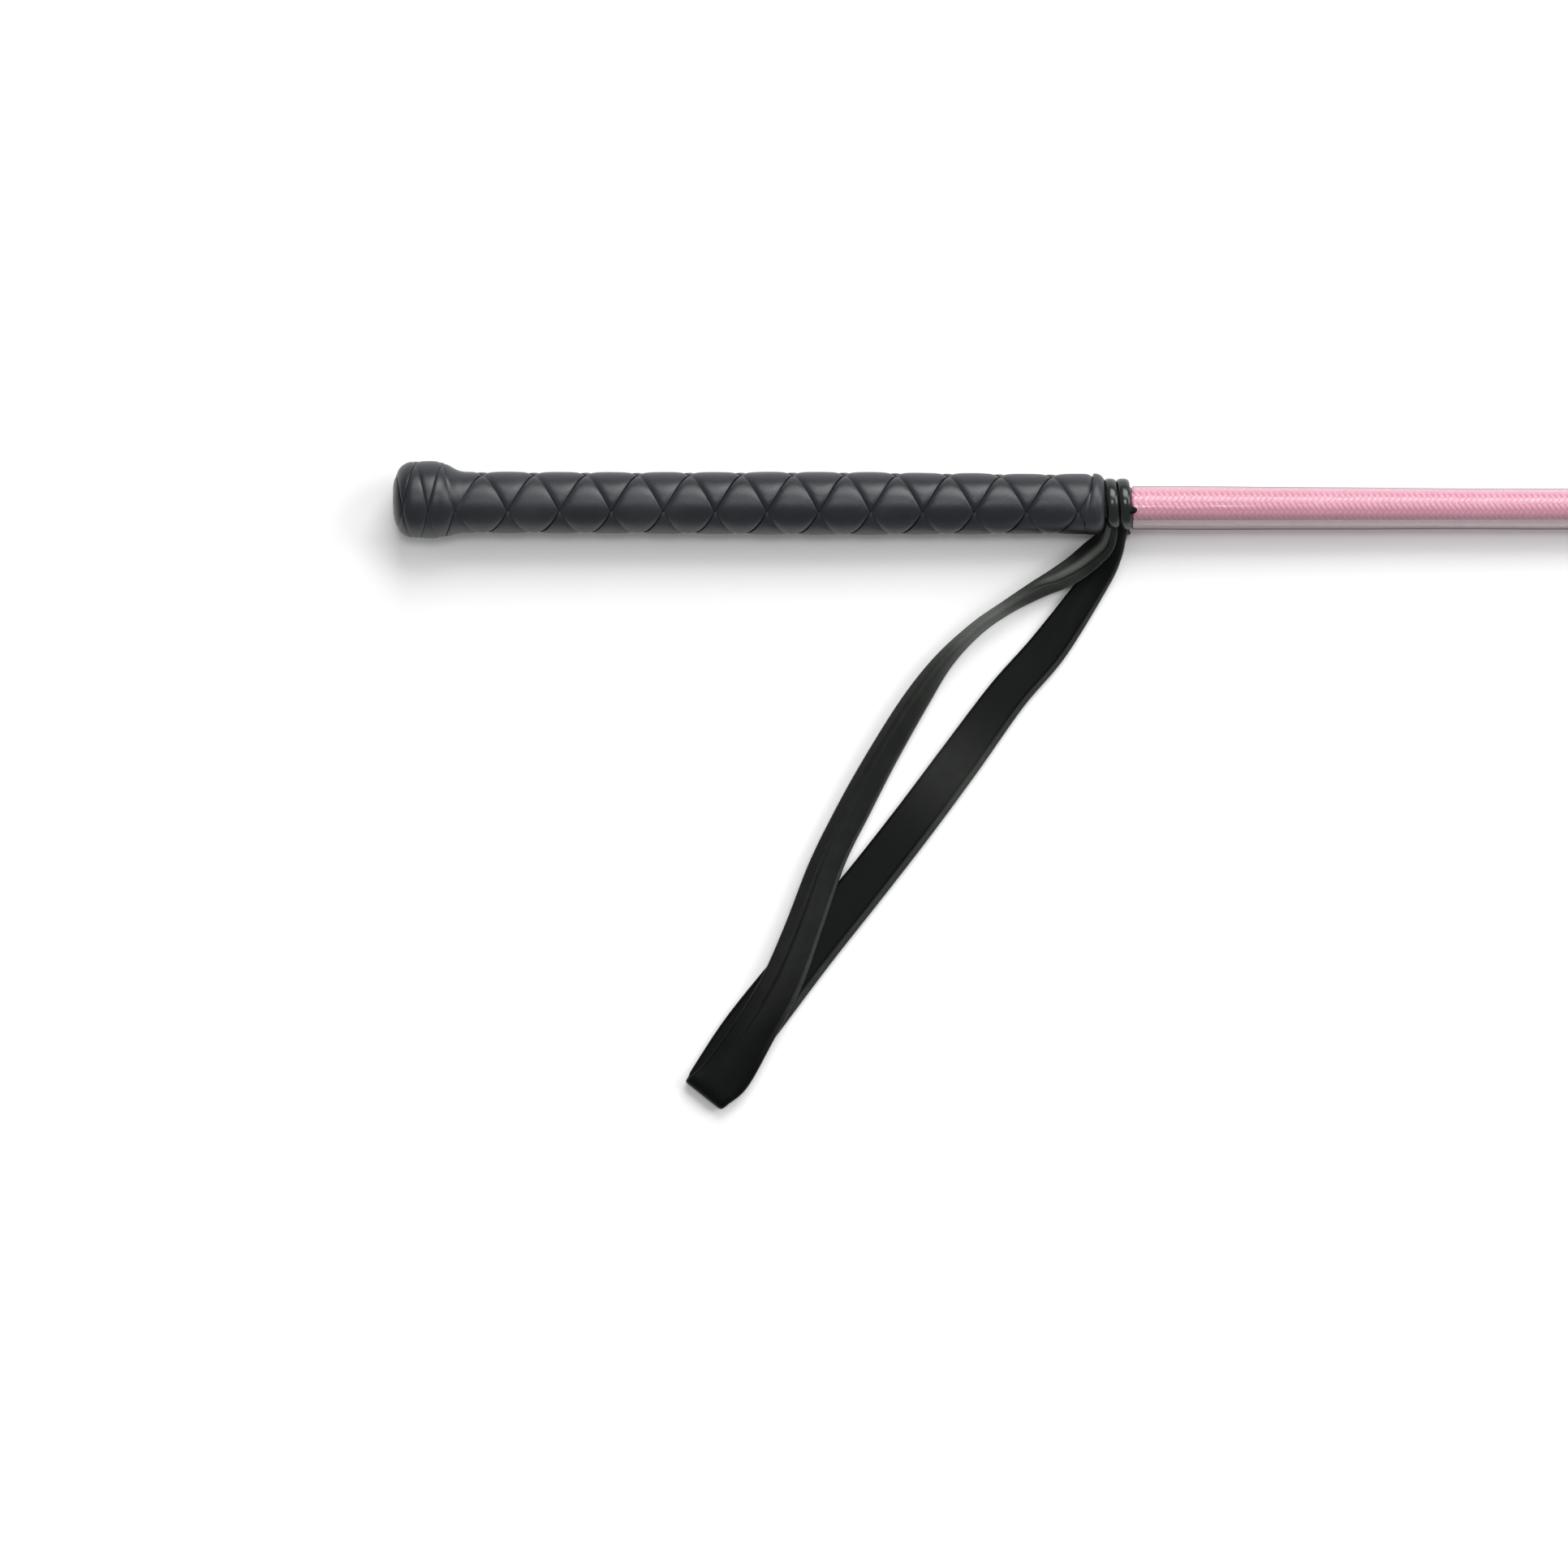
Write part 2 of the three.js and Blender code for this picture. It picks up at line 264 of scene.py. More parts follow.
def leather(name, dark, worn, dull, shiny, cell_mm, grain_mm, gloss=0.5):
    """dull and shiny are roughnesses, cell_mm the size of the grain and grain_mm its depth."""
    finish = Finish(name)
    where = finish.place()
    patches = finish.noise(where, 45, 4.0)
    handling = finish.noise(where, 220, 3.0, 0.6)
    fine = finish.noise(where, 1900, 2.0, 0.7)
    grain = finish.cells(where, 1 / (cell_mm * MM)).smooth(0.0, 0.35)
    rubbed = patches.smooth(0.42, 0.72) * 0.65 + handling.smooth(0.5, 0.8) * 0.35
    colour = finish.mix(rubbed, dark, worn)
    colour = finish.mix((1 - grain) * 0.35, colour, [0.6 * c for c in dark])
    creases = finish.noise(finish.place(scale=(1, 1.6, 1)), 420, 5.0, 0.65)
    wear_and_painted_light = finish.node("ShaderNodeAttribute", {"attribute_name": "wear_and_painted_light"}, {}, output=2)
    # Where the number at the points is high the dye turns to the paler grey: edge wear and painted light
    # together.
    colour = finish.mix(wear_and_painted_light * (handling * 0.8 + 0.6), colour, PALE)
    height = grain * 0.6 + fine * 0.5 + creases * 1.2
    rough = patches * (dull - shiny) + shiny + (handling - 0.5) * 0.12
    return finish.surface_is(
        Base_Color=colour,
        Roughness=rough,
        Normal=finish.bump(height, grain_mm * MM),
        Specular_IOR_Level=gloss,
    )


plait_leather = leather(
    "plaited leather",
    dark=(0.005, 0.007, 0.012),
    worn=(0.018, 0.021, 0.026),
    dull=0.46,
    shiny=0.30,
    cell_mm=0.32,
    grain_mm=0.018,
)
strap_leather = leather(
    "strap leather",
    dark=(0.0010, 0.0014, 0.0014),
    worn=(0.003, 0.004, 0.0038),
    dull=0.50,
    shiny=0.34,
    cell_mm=0.26,
    grain_mm=0.012,
    gloss=0.09,
)
hitch_leather = leather(
    "polished strap leather",
    dark=(0.003, 0.005, 0.005),
    worn=(0.010, 0.012, 0.012),
    dull=0.26,
    shiny=0.16,
    cell_mm=0.4,
    grain_mm=0.008,
)
keeper_leather = leather(
    "keeper leather",
    dark=(0.008, 0.009, 0.010),
    worn=(0.020, 0.021, 0.022),
    dull=0.50,
    shiny=0.34,
    cell_mm=0.5,
    grain_mm=0.03,
)
print("leathers:", plait_leather.name, strap_leather.name, hitch_leather.name, keeper_leather.name)

# %% [markdown]
# ## Nylon yarn and thread
# A yarn is a bundle of hair-thin filaments laid side by side. Its bump is a fine ripple across the yarn,
# read from the piece's own UV map, so that it follows every turn. The colour is fuller between two
# filaments, a painted shade, and paler on their crests, a painted highlight, and a clear coat stands for
# the gloss of nylon.


# %% Yarn and thread finishes
def yarn(name, deep, pale, filaments, rough, gloss):
    finish = Finish(name)
    where = finish.place("UV", scale=(1, filaments, 1))
    ripple = finish.node(
        "ShaderNodeTexWave",
        {"wave_type": "BANDS", "bands_direction": "Y"},
        {"Vector": where, "Scale": 0.32, "Distortion": 1.2, "Detail": 2.0, "Detail Scale": 3.0},
        output=1,
    )
    slow = finish.noise(finish.place(), 90, 3.0)
    # Painted shade between the filaments and a painted highlight on their crests, both from the ripple.
    colour = finish.mix(ripple.smooth(0.1, 0.8) * 0.6 + slow.smooth(0.2, 0.8) * 0.16 + 0.12, deep, pale)
    return finish.surface_is(
        Base_Color=colour,
        Roughness=rough + (slow - 0.5) * 0.15,
        Normal=finish.bump(ripple, 0.00005, 0.7),
        Coat_Weight=gloss,
        Coat_Roughness=0.18,
    )


pink_yarn = yarn(
    "pink nylon yarn", (0.42, 0.070, 0.150), (0.70, 0.26, 0.38), filaments=8, rough=0.27, gloss=1.0
)
black_thread = yarn(
    "waxed black thread", (0.010, 0.010, 0.011), (0.030, 0.030, 0.032), filaments=6, rough=0.5, gloss=0.1
)
print("yarns:", pink_yarn.name, black_thread.name)

# %% [markdown]
# ## Clear plastic
# The sleeve is a thin clear tube. Seen face on it shows almost nothing, and seen along its wall it turns
# grey, because there is more plastic in the way. Alpha that rises towards the edges gives both. The side
# that hangs away from the rod, towards -Y, is painted darker and more opaque as painted shade, and the
# gloss comes from the shader itself.


# %% Clear plastic finish
def clear_plastic():
    finish = Finish("clear plastic")
    facing = finish.node("ShaderNodeLayerWeight", {}, {"Blend": 0.5}, output=1)
    scuffs = finish.noise(finish.place(scale=(0.15, 1, 1)), 500, 4.0, 0.7)
    side = finish.node("ShaderNodeSeparateXYZ", {}, {0: finish.place()}, output=1)
    # Painted shade: the side away from the rod, towards -Y, is made darker and more opaque.
    painted_shade_below = (side * -1).smooth(0.0050, 0.0062)
    # Grey along the wall where it is seen edge on, plus the painted shade on the -Y side.
    rim = facing.smooth(0.58, 0.86) + painted_shade_below * 0.6
    return finish.surface_is(
        Base_Color=finish.mix(rim, (0.93, 0.72, 0.79), (0.07, 0.05, 0.055)),
        Roughness=scuffs.smooth(0.45, 0.8) * 0.12 + rim * 0.5 + 0.05,
        Alpha=rim * 0.85 + facing.smooth(0.3, 0.7) * 0.08 + scuffs.smooth(0.55, 0.8) * 0.04 + 0.10,
        Normal=finish.bump(scuffs, 0.00003),
        Specular_IOR_Level=1.0,
    )


sleeve_plastic = clear_plastic()
print("clear:", sleeve_plastic.name)

# %% [markdown]
# ## What is inside
# The rod, the wooden knob and the rubber tube under the plait stay hidden, but they are real pieces, so each
# gets its own finish: long fibres in the rod, rings and pores in the wood, a matt bloom on the rubber.


# %% Finishes of the hidden pieces
def streaked(name, low, high, stretch, scale, rough, relief_mm):
    """Streaks between two colours. stretch is smaller along the axis that the streaks follow."""
    finish = Finish(name)
    where = finish.place(scale=stretch)
    streaks = finish.noise(where, scale, 5.0, 0.65)
    colour = finish.mix(streaks.smooth(0.3, 0.7), low, high)
    return finish.surface_is(
        Base_Color=colour,
        Roughness=rough + (streaks - 0.5) * 0.2,
        Normal=finish.bump(streaks, relief_mm * MM),
    )


glass_fibre = streaked(
    "bare glass fibre", (0.62, 0.56, 0.42), (0.85, 0.82, 0.70), (0.03, 1, 1), scale=900, rough=0.4, relief_mm=0.03
)
knob_wood = streaked(
    "turned knob wood", (0.30, 0.17, 0.08), (0.52, 0.34, 0.19), (0.2, 1, 1), scale=320, rough=0.65, relief_mm=0.05
)
grip_rubber = streaked(
    "grip rubber", (0.012, 0.012, 0.013), (0.035, 0.035, 0.036), (1, 1, 1), scale=600, rough=0.8, relief_mm=0.05
)


def give(node, material):
    """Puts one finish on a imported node, which keeps its mesh."""
    node_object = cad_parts[node]
    node_object.data.materials.clear()
    node_object.data.materials.append(material)


give("core_rod", glass_fibre)
give("pommel_core", knob_wood)
give("grip_core", grip_rubber)
print("hidden pieces finished: core_rod, pommel_core, grip_core")

# %% [markdown]
# ## Cutting flat and winding round
# A leather strand is cut flat and then bent into place, and the same can be done in Blender. A fine grid is
# given a thickness while it is flat. Each of its points then has three plain numbers: how far along the
# strand it is, how far across, and which face it is on. A formula carries those numbers to the crop. Yarn
# is a grid too, rolled into a tube.


# %% Flat slabs, rolled tubes and how they are placed
def points_of(piece):
    found = np.empty(3 * len(piece.data.vertices))
    piece.data.vertices.foreach_get("co", found)
    return found.reshape(-1, 3)


def put_points(piece, points):
    piece.data.vertices.foreach_set("co", np.ascontiguousarray(points, dtype=float).ravel())
    piece.data.update()


def start_from(primitive, name, **settings):
    """Adds one primitive with nothing else selected, and names it."""
    bpy.ops.object.select_all(action="DESELECT")
    primitive(**settings)
    piece = bpy.context.object
    piece.name = piece.data.name = name
    return piece


def flat_grid(name, along, across):
    grid = bpy.ops.mesh.primitive_grid_add
    return start_from(grid, name, x_subdivisions=along, y_subdivisions=across, size=1)


def in_edit_mode(piece, *steps):
    """Selects the whole piece and runs edit-mode steps on it."""
    bpy.context.view_layer.objects.active = piece
    bpy.ops.object.mode_set(mode="EDIT")
    bpy.ops.mesh.select_all(action="SELECT")
    for step in steps:
        step()
    bpy.ops.object.mode_set(mode="OBJECT")


def merge_doubles():
    bpy.ops.mesh.remove_doubles(threshold=1e-7)


def face_outwards():
    bpy.ops.mesh.normals_make_consistent(inside=False)


def finish_piece(piece, material, body=None, replaces=(), sharp=40):
    """Smooths a placed piece, gives it its finish, ties it to a body when one is named and hides the imported
    nodes it replaces.
    """
    piece.data.materials.clear()
    piece.data.materials.append(material)
    bpy.ops.object.select_all(action="DESELECT")
    piece.select_set(True)
    bpy.context.view_layer.objects.active = piece
    bpy.ops.object.shade_smooth_by_angle(angle=math.radians(sharp))
    if body:
        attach(piece, body)
    if replaces:
        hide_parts(*replaces)
    print(piece.name, "has", len(piece.data.polygons), "faces")
    return piece


def crowd(v):
    """Moves points from the middle of 0..1 towards both ends, where a piece rolls over its edge."""
    return 0.5 - 0.5 * np.cos(math.pi * v)


def mark_wear_and_painted_light(piece, paler_at):
    """Stores how much paler each point's dye is, edge wear and painted light together, from where it lies along
    and across the flat piece.
    """
    x, y, _ = points_of(piece).T
    wear_and_painted_light = piece.data.attributes.new("wear_and_painted_light", "FLOAT", "POINT")
    wear_and_painted_light.data.foreach_set("value", paler_at(x + 0.5, crowd(y + 0.5)))


def slab(name, along, across, place, wear_and_painted_light=None):
    """A thin slab. place takes arrays of along, across in 0..1 and of face, -1 or 1, and returns mm."""
    piece = flat_grid(name, along, across)
    if wear_and_painted_light:
        mark_wear_and_painted_light(piece, wear_and_painted_light)
    thickness = piece.modifiers.new("thickness", "SOLIDIFY")
    thickness.thickness = 1
    thickness.offset = 0
    bpy.ops.object.modifier_apply(modifier=thickness.name)
    x, y, z = points_of(piece).T
    put_points(piece, place(x + 0.5, y + 0.5, 2 * z) * MM)
    in_edit_mode(piece, merge_doubles, face_outwards)
    return piece


def rolled_tube(name, along, around, place):
    """A closed tube. place takes arrays of along in 0..1 and of the angle round the tube, and returns mm."""
    piece = flat_grid(name, along, around)
    x, y, _ = points_of(piece).T
    put_points(piece, place(x + 0.5, 2 * math.pi * (y + 0.5)) * MM)
    in_edit_mode(piece, merge_doubles, face_outwards)
    return piece


def ramp(value, low, high):
    """0 at low and 1 at high, with a smooth step between."""
    t = np.clip((value - low) / (high - low), 0, 1)
    return t * t * (3 - 2 * t)


def closing(u, steps):
    """0 at both ends and 1 from one step further in: it draws the ends of a tube shut."""
    return np.clip(np.minimum(u, 1 - u) * steps, 0, 1)


def squared(wave, power):
    """A sine or cosine made fuller, so that a circle comes nearer to a rounded square."""
    return np.sign(wave) * np.abs(wave) ** power


def thinned(amount):
    """How thick an edge still is, from 1 down to a thin rim, as it rounds off."""
    return np.sqrt(np.clip(1 - amount, 0.02, 1))


def unit(vectors):
    return vectors / np.linalg.norm(vectors, axis=1, keepdims=True)


print("slabs and tubes are cut flat and placed by a formula")

# %% [markdown]
# ## The handle's skin
# The plait lies over a knob, a neck and a grip that swells a little in the middle, and its last few
# millimetres dive under the end cover. Its outline is two curves and a straight, measured once along its
# length, so that a strand can be laid on it by distance. The knob sits a little to one side of the
# handle's axis.

# %% Outline of the handle
band_middle, band_half = middle_of("grip_end_band")
plug_middle, plug_half = middle_of("butt_plug")
GRIP_RADIUS = band_half[1] + 0.15
PLAIT_END = band_middle[0] - band_half[0] - 0.3
TUCK = 2.4  # how far the strands go on under the end cover
KNOB_SWAY = plug_middle[1]
FULL_FROM, FULL_TO, NECK = 6, 10.5, 19.5


def bezier(start, first, second, end, steps=40):
    t = np.linspace(0, 1, steps)[:, None]
    start, first, second, end = map(np.array, (start, first, second, end))
    return (1 - t) ** 3 * start + 3 * (1 - t) ** 2 * t * first + 3 * (1 - t) * t**2 * second + t**3 * end


rim_of_disc = (0, plug_half[1] + 0.3)
dome = bezier(rim_of_disc, (0.2, 0.65 * KNOB_RADIUS), (1.6, KNOB_RADIUS), (FULL_FROM, KNOB_RADIUS))
neck = bezier((FULL_TO, KNOB_RADIUS), (15.6, KNOB_RADIUS), (15.6, GRIP_RADIUS), (NECK, GRIP_RADIUS))
grip_x = np.linspace(NECK + 1, PLAIT_END + TUCK, 170)
SWELL_X, SWELL = [20, 65, 118, 170, 188.2, 190], [0, 0, 0.25, -0.15, -0.15, -1.1]
swell = np.interp(grip_x, SWELL_X, SWELL)
grip = np.column_stack([grip_x, GRIP_RADIUS + swell])
outline = np.vstack([dome, neck, grip])
distance = np.concatenate([[0], np.cumsum(np.linalg.norm(np.diff(outline, axis=0), axis=1))])
heading = unit(np.column_stack([np.gradient(outline[:, 0], distance), np.gradient(outline[:, 1], distance)]))


def sway(x):
    """How far the middle of the handle is off the rod's axis."""
    return KNOB_SWAY * (1 - ramp(x, 12, NECK))


def under_skin(s, depth):
    """x and radius of a point at a distance along the skin and a depth below it."""
    x, radius = np.interp(s, distance, outline[:, 0]), np.interp(s, distance, outline[:, 1])
    along, out = np.interp(s, distance, heading[:, 0]), np.interp(s, distance, heading[:, 1])
    return x + depth * out, radius - depth * along


def round_axis(x, radius, degrees, offset=0.0):
    angle = np.radians(degrees)
    return np.column_stack([x, offset + radius * np.sin(angle), radius * np.cos(angle)])


print("skin length in mm:", round(float(distance[-1]), 1))

# %% [markdown]
# ## The plait
# Four flat strands are plaited over one and under one: two wind one way, two the other. Seams of both
# families cross on a lattice, so a point of the plait is two lattice numbers and a depth. The lattice is
# closer on the knob, where the strands are drawn in. A strand keeps its lane in one number and runs along
# the other. It lies on top over one cell, dips, passes under the next, and its cut edges roll down into
# the seams.

# %% Wind the four strands
CELL, KNOB_CELL = 7, 3.6  # half the distance between two crossings, on the grip and on the knob
SEAM_ANGLE, SEAM_X = -20, 31
STRAND_THICKNESS = 0.75
LAYER_STEP = 0.95  # how much deeper a strand lies where it passes under another
SEAM_GAP = 0.012
CROWN, EDGE_ROLL, EDGE_TURN, WANDER = 0.12, 0.10, 0.24, 0.05
KNOB_DEPTH = 0.55  # the strands are pulled thinner over the knob
seam_start = distance[-1] - (PLAIT_END + TUCK - SEAM_X)
cell_size = np.interp(outline[:, 0], [15.6, 17.2], [KNOB_CELL, CELL])
steps = np.diff(distance) / ((cell_size[1:] + cell_size[:-1]) / 2)
lattice = np.concatenate([[0], np.cumsum(steps)])
lattice -= np.interp(seam_start, distance, lattice)


def on_plait(a, b, depth):
    s = np.interp(a + b, lattice, distance)
    x, radius = under_skin(s, depth * np.interp(s, [24, 30], [KNOB_DEPTH, 1]))
    return round_axis(x, radius, SEAM_ANGLE + 90 * (a - b), sway(x))


def strand(name, lane, climbs, steps_per_cell=26, across=22):
    cells = math.ceil(lattice[-1] - lattice[0]) + 3
    first = math.floor(lattice[0]) - lane - 2

    def place(u, v, face):
        v = crowd(v)
        side = lane + SEAM_GAP + v * (1 - 2 * SEAM_GAP)
        run = first + u * cells
        inside = np.clip(run, lattice[0] - side, lattice[-1] - side)
        on_top = np.cos(math.pi * (inside - 0.5 - lane)) * (-1 if climbs else 1)
        dip = LAYER_STEP * (1 - np.tanh(4 * on_top) / math.tanh(4)) / 2 + CROWN * (1 - np.abs(on_top))
        edge = np.abs(2 * v - 1)
        roll = EDGE_ROLL * edge**2 + EDGE_TURN * edge**8
        wander = WANDER * np.sin(1.7 * run + 2 * lane) * (1 - edge)
        run = inside + 0.003 * (run - inside)
        depth = dip + roll + wander + (1 - face) / 2 * STRAND_THICKNESS * (1 - 0.8 * edge**8)
        return on_plait(run, side, depth) if climbs else on_plait(side, run, depth)

    return slab(name, cells * steps_per_cell, across, place)


for family, climbs in (("a", False), ("b", True)):
    for lane in (0, 1):
        node = f"grip_strand_{family}{lane + 1}"
        wound = strand(f"plait_{family}{lane + 1}", lane, climbs)
        finish_piece(wound, plait_leather, "crop", [node])

# %% [markdown]
# ## Butt disc and end cover
# The strand ends are hidden under a leather disc at the butt and under a smooth cover next to the hitch.
# The disc is a short cylinder with its face inset and its rim bevelled. The cover is a closed outline that
# is spun round the axis. A thin lining of it runs on under the hitch, and its back edge is cut at a slant.


# %% Butt disc
DISC_DEPTH = 1.2
DISC_RINGS = ((0.9, 0), (0.25, -0.12), (0.5, 0))  # the width and the depth of each inset


def pick_end_face(piece):
    """Selects the faces that look along -X, and nothing else, and stays in edit mode."""
    bpy.context.view_layer.objects.active = piece
    bpy.ops.object.mode_set(mode="EDIT")
    bpy.ops.mesh.select_mode(type="FACE")
    bpy.ops.mesh.select_all(action="DESELECT")
    bpy.ops.object.mode_set(mode="OBJECT")
    for face in piece.data.polygons:
        face.select = face.normal.x < -0.99
    bpy.ops.object.mode_set(mode="EDIT")


def butt_disc():
    disc = start_from(
        bpy.ops.mesh.primitive_cylinder_add,
        "butt_disc",
        vertices=64,
        radius=plug_half[1] * MM,
        depth=DISC_DEPTH * MM,
        location=(DISC_DEPTH / 2 * MM, KNOB_SWAY * MM, 0),
        rotation=(0, math.pi / 2, 0),
    )
    bpy.ops.object.transform_apply(location=True, rotation=True, scale=True)
    pick_end_face(disc)
    bpy.ops.mesh.bevel(offset=0.35 * MM, segments=4, affect="EDGES")
    bpy.ops.object.mode_set(mode="OBJECT")
    pick_end_face(disc)
    for width, depth in DISC_RINGS:
        bpy.ops.mesh.inset(thickness=width * MM, depth=depth * MM)
    bpy.ops.object.mode_set(mode="OBJECT")
    return disc


finish_piece(butt_disc(), plait_leather, "crop", ["butt_plug"])


# %% End cover
def spun_ring(name, outline_mm, steps=96):
    """A closed outline of (x, radius) points, spun once round the rod's axis."""

    def spin():
        bpy.ops.mesh.spin(steps=steps, angle=2 * math.pi, center=(0, 0, 0), axis=(1, 0, 0))

    ring = start_from(bpy.ops.mesh.primitive_circle_add, name, vertices=len(outline_mm), radius=1)
    put_points(ring, np.array([[x, 0, radius] for x, radius in outline_mm]) * MM)
    in_edit_mode(ring, spin)
    in_edit_mode(ring, merge_doubles, face_outwards)
    return ring


band_start, band_end = band_middle[0] - band_half[0], band_middle[0] + band_half[0]
hitch_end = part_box("hitch_band_shaft_side")[1][0] / MM
COVER_BORE, LINING, NOSE = 4.56, 0.12, 2.6
SLANT = 0.17
skirt = [
    (band_start + 0.4, GRIP_RADIUS - 0.8),
    (band_start + 0.4, GRIP_RADIUS - 0.3),
    (band_start + 1, GRIP_RADIUS - 0.1),
]
nose = [
    (band_end - NOSE + NOSE * math.sin(t), 5.9 + (band_half[1] - 5.8) * math.cos(t))
    for t in np.linspace(0, 1.45, 9)
]
bore = [
    (band_end, COVER_BORE),
    (hitch_end, COVER_BORE),
    (hitch_end, COVER_BORE - LINING),
    (band_start, COVER_BORE - LINING),
]
end_cover = spun_ring("grip_end_cover", skirt + nose + bore)
cover_points = points_of(end_cover)
near_back = np.clip(band_start + 1.6 - cover_points[:, 0] / MM, 0, 1)
cover_points[:, 0] += near_back * SLANT * cover_points[:, 1]
put_points(end_cover, cover_points)
finish_piece(end_cover, plait_leather, "crop", ["grip_end_band"])

# %% [markdown]
# ## The braid
# The rod is covered by twelve yarns wound one way and twelve the other, each over two and under two. On
# such a braiding machine the yarns change places at fixed angles, so the crossings line up in bands that
# run straight along the rod. One function rolls a yarn from a grid, and each of the twelve is turned by a
# twelfth of a turn. A plain lining closes the tiny gaps between them.

# %% Braid of 24 yarns
YARNS = 12
LEAD = 19
BAND_ANGLE = 18
YARN_THICKNESS = 0.5
WEAVE_HEIGHT = 0.2
braid_start = band_middle[0] + band_half[0]
braid_end = whipping_middle[0] - 4
TAPER_START = 204


def braid_radius(x):
    """The outside of the yarns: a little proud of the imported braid, and thinner towards the tip."""
    return np.interp(x, [TAPER_START, 591], [4.42, 2.75])


def braid_yarn(name, climbs, turn, steps_per_lead=48, around=6):
    length = braid_end - braid_start
    steps = round(length / LEAD * steps_per_lead)
    sign = 1 if climbs else -1

    def centre_line(x):
        degrees = turn + sign * 360 * x / LEAD
        wave = np.cos(np.radians(YARNS / 2 * (degrees - BAND_ANGLE))) * sign
        rise = WEAVE_HEIGHT * np.tanh(2.2 * wave) / math.tanh(2.2)
        return round_axis(x, braid_radius(x) - YARN_THICKNESS / 2 - WEAVE_HEIGHT + rise, degrees), degrees

    def place(u, angle):
        x = braid_start + u * length
        centre, degrees = centre_line(x)
        ahead = unit(centre_line(x + 0.02)[0] - centre_line(x - 0.02)[0])
        out = round_axis(np.zeros_like(x), 1, degrees)
        across = unit(np.cross(ahead, out))
        pitch_angle = np.arctan(2 * math.pi * braid_radius(x) / LEAD)
        width = 0.97 * LEAD / YARNS * np.sin(pitch_angle)
        closed = closing(u, steps)
        flat = closed * width / 2 * squared(np.cos(angle), 0.8)
        high = closed * YARN_THICKNESS / 2 * np.sin(angle)
        return centre + across * flat[:, None] + np.cross(across, ahead) * -high[:, None]

    return rolled_tube(name, steps, around, place)


def braid_half(name, climbs, slot_offset):
    yarns = [braid_yarn(f"{name}_{n}", climbs, slot_offset + n * 360 / YARNS) for n in range(YARNS)]
    bpy.ops.object.select_all(action="DESELECT")
    for one in yarns:
        one.select_set(True)
    bpy.context.view_layer.objects.active = yarns[0]
    bpy.ops.object.join()
    half = bpy.context.object
    half.name = half.data.name = name
    return finish_piece(half, pink_yarn, "crop", ["braid_cover"], sharp=80)


braid_half("braid_climbing", True, 0)
braid_half("braid_falling", False, 15)


# %% Lining of the braid
LINING_START, LINING_END, LINING_STEPS = 17.6, 591, 60


def lining_place(u, angle):
    x = LINING_START + (LINING_END - LINING_START) * u
    return round_axis(x, (braid_radius(x) - 0.95) * closing(u, LINING_STEPS), np.degrees(angle))


lining = rolled_tube("braid_lining", LINING_STEPS, 48, lining_place)
finish_piece(lining, pink_yarn, "crop", ["braid_cover"])

# %% [markdown]
# ## The clear sleeve
# The sleeve hangs loosely on the rod and lies against it on one side. It is a long cylinder, slightly
# tapered, given its thin wall by a Solidify modifier. Its bore is never quite even, so its radius wavers a
# little along the way.

# %% Clear sleeve
sleeve_middle, sleeve_half = middle_of("clear_sleeve")
sleeve_start, sleeve_end = sleeve_middle[0] - sleeve_half[0], sleeve_middle[0] + sleeve_half[0]
SLEEVE_RADII = (sleeve_half[1], 4.75)
SLEEVE_WALL = 0.35


def sleeve_shape(u, angle):
    x = sleeve_start + (sleeve_end - sleeve_start) * u
    waver = 0.05 * np.sin(x / 17 + 0.6) + 0.03 * np.sin(x / 7.3 + 2 * angle)
    radius = SLEEVE_RADII[0] + (SLEEVE_RADII[1] - SLEEVE_RADII[0]) * u - 0.05 + waver
    return round_axis(x, radius, np.degrees(angle), sleeve_middle[1])


sleeve = rolled_tube("clear_tube", 240, 96, sleeve_shape)
wall = sleeve.modifiers.new("wall", "SOLIDIFY")
wall.thickness = SLEEVE_WALL * MM
wall.offset = -1
bpy.ops.object.modifier_apply(modifier=wall.name)
finish_piece(sleeve, sleeve_plastic, "sleeve", ["clear_sleeve"])

# %% [markdown]
# ## The wrist strap
# The strap is one band of leather, folded lengthwise with its two edges meeting in a seam on the outer
# face. It leaves one side of the hitch, runs out flat, turns back over itself, and comes back with a twist
# that stands it nearly on edge. A surface like that is easiest to describe by lines that run along it: the
# left edge, the seam and the right edge. Each line has a few stations, and a smooth curve joins them. The
# seam, a pressed hem line and a ridge near the hitch are then pressed into the surface by formulas. The dye
# is made paler along the strip beyond the hem, partly edge wear and partly a painted highlight; a painted
# highlight runs along the ridge, painted light makes the upper leg paler near the hitch and in a band
# across it, a painted sheen crosses the lower leg, and the whole upper leg is a shade paler.


# %% Smooth curves through stations
def smooth_curve(stations, t):
    """Points of a Catmull-Rom curve through stations, at t from 0 to 1."""
    stations = np.asarray(stations, float)
    stations = np.vstack([2 * stations[0] - stations[1], stations, 2 * stations[-1] - stations[-2]])
    spot = np.clip(t, 0, 1) * (len(stations) - 3)
    first = np.minimum(spot.astype(int), len(stations) - 4)
    f = (spot - first)[:, None]
    p0, p1, p2, p3 = (stations[first + k] for k in range(4))
    return 0.5 * (
        2 * p1 + (p2 - p0) * f + (2 * p0 - 5 * p1 + 4 * p2 - p3) * f**2 + (3 * p1 - p0 - 3 * p2 + p3) * f**3
    )


